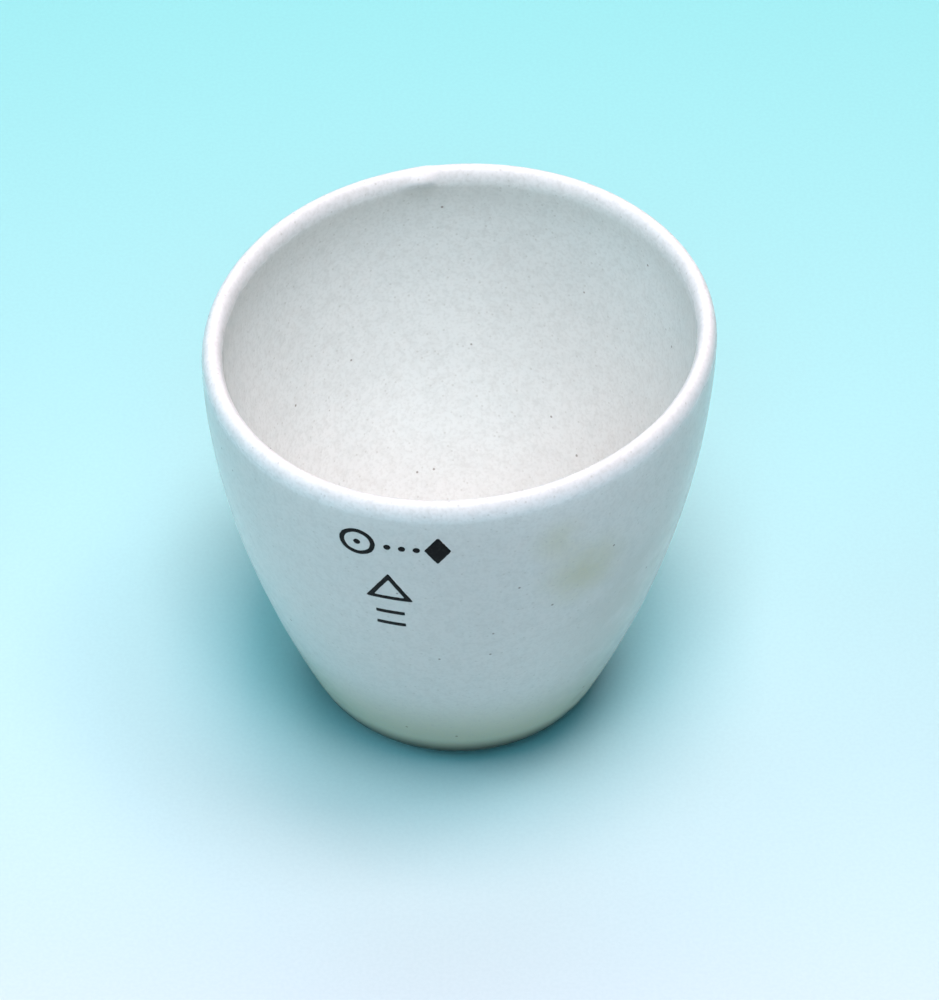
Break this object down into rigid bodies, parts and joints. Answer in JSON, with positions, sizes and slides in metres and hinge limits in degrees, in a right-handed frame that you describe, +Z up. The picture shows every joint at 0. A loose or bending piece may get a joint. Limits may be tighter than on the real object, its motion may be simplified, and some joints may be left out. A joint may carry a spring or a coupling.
{
  "type": "porcelain crucible",
  "caption": "Small round glazed porcelain crucible for heating samples: an open tapered cup with a rounded lip, a bare flat foot and a plain ink mark.",
  "frame": {"origin": "centre of the foot face, on the surface the crucible stands on", "axes": "+Z up through the mouth; -Y towards the side with the ink mark; +X is the side where the rim stands highest"},
  "size_m": [0.042, 0.0421, 0.0403],
  "materials": {
    "porcelain": "bare fired porcelain, off-white and matte, seen only on the foot",
    "glaze": "glossy white feldspar glaze with a fine grey speckle",
    "ink": "black ceramic ink, fired on, slightly glossy"
  },
  "bodies": {
    "root": {"body": "porcelain", "glaze_coat": "glaze", "mark_ring": "ink", "mark_ring_centre": "ink", "mark_dot_1": "ink", "mark_dot_2": "ink", "mark_dot_3": "ink", "mark_lozenge": "ink", "mark_triangle": "ink", "mark_bar_upper": "ink", "mark_bar_lower": "ink"}
  },
  "joints": []
}
